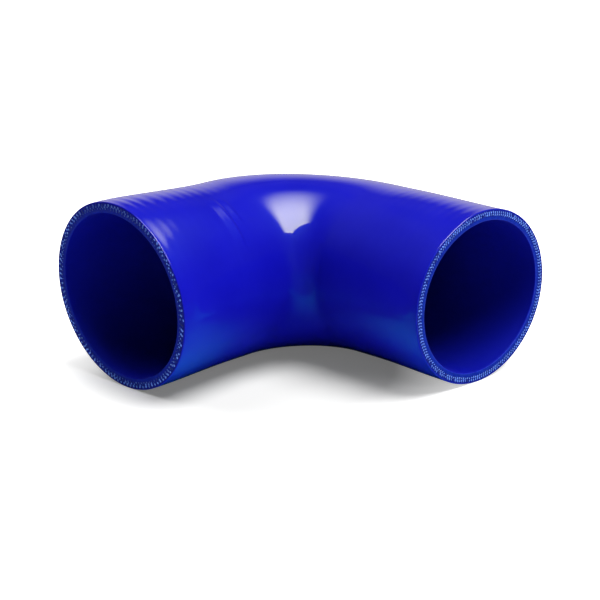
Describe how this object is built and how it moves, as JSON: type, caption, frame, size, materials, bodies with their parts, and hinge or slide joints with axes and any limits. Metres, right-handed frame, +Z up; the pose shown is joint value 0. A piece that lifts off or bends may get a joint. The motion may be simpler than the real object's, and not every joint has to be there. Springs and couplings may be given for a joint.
{
  "type": "silicone elbow hose",
  "caption": "Right-angle reducing elbow hose of fabric-reinforced blue silicone rubber, which joins a larger pipe end to a smaller one.",
  "frame": {"origin": "middle of the footprint, on the surface that the hose lies on", "axes": "+Z up from the surface that the hose lies on, with both leg axes parallel to it; the mouths face -Y and away from each other, the larger one on the -X side and the smaller one on the +X side; the outside of the bend faces +Y"},
  "size_m": [0.199, 0.1176, 0.0764],
  "materials": {
    "silicone_rubber": "gloss"
  },
  "bodies": {
    "root": {"elbow_hose": "silicone_rubber"}
  },
  "joints": []
}
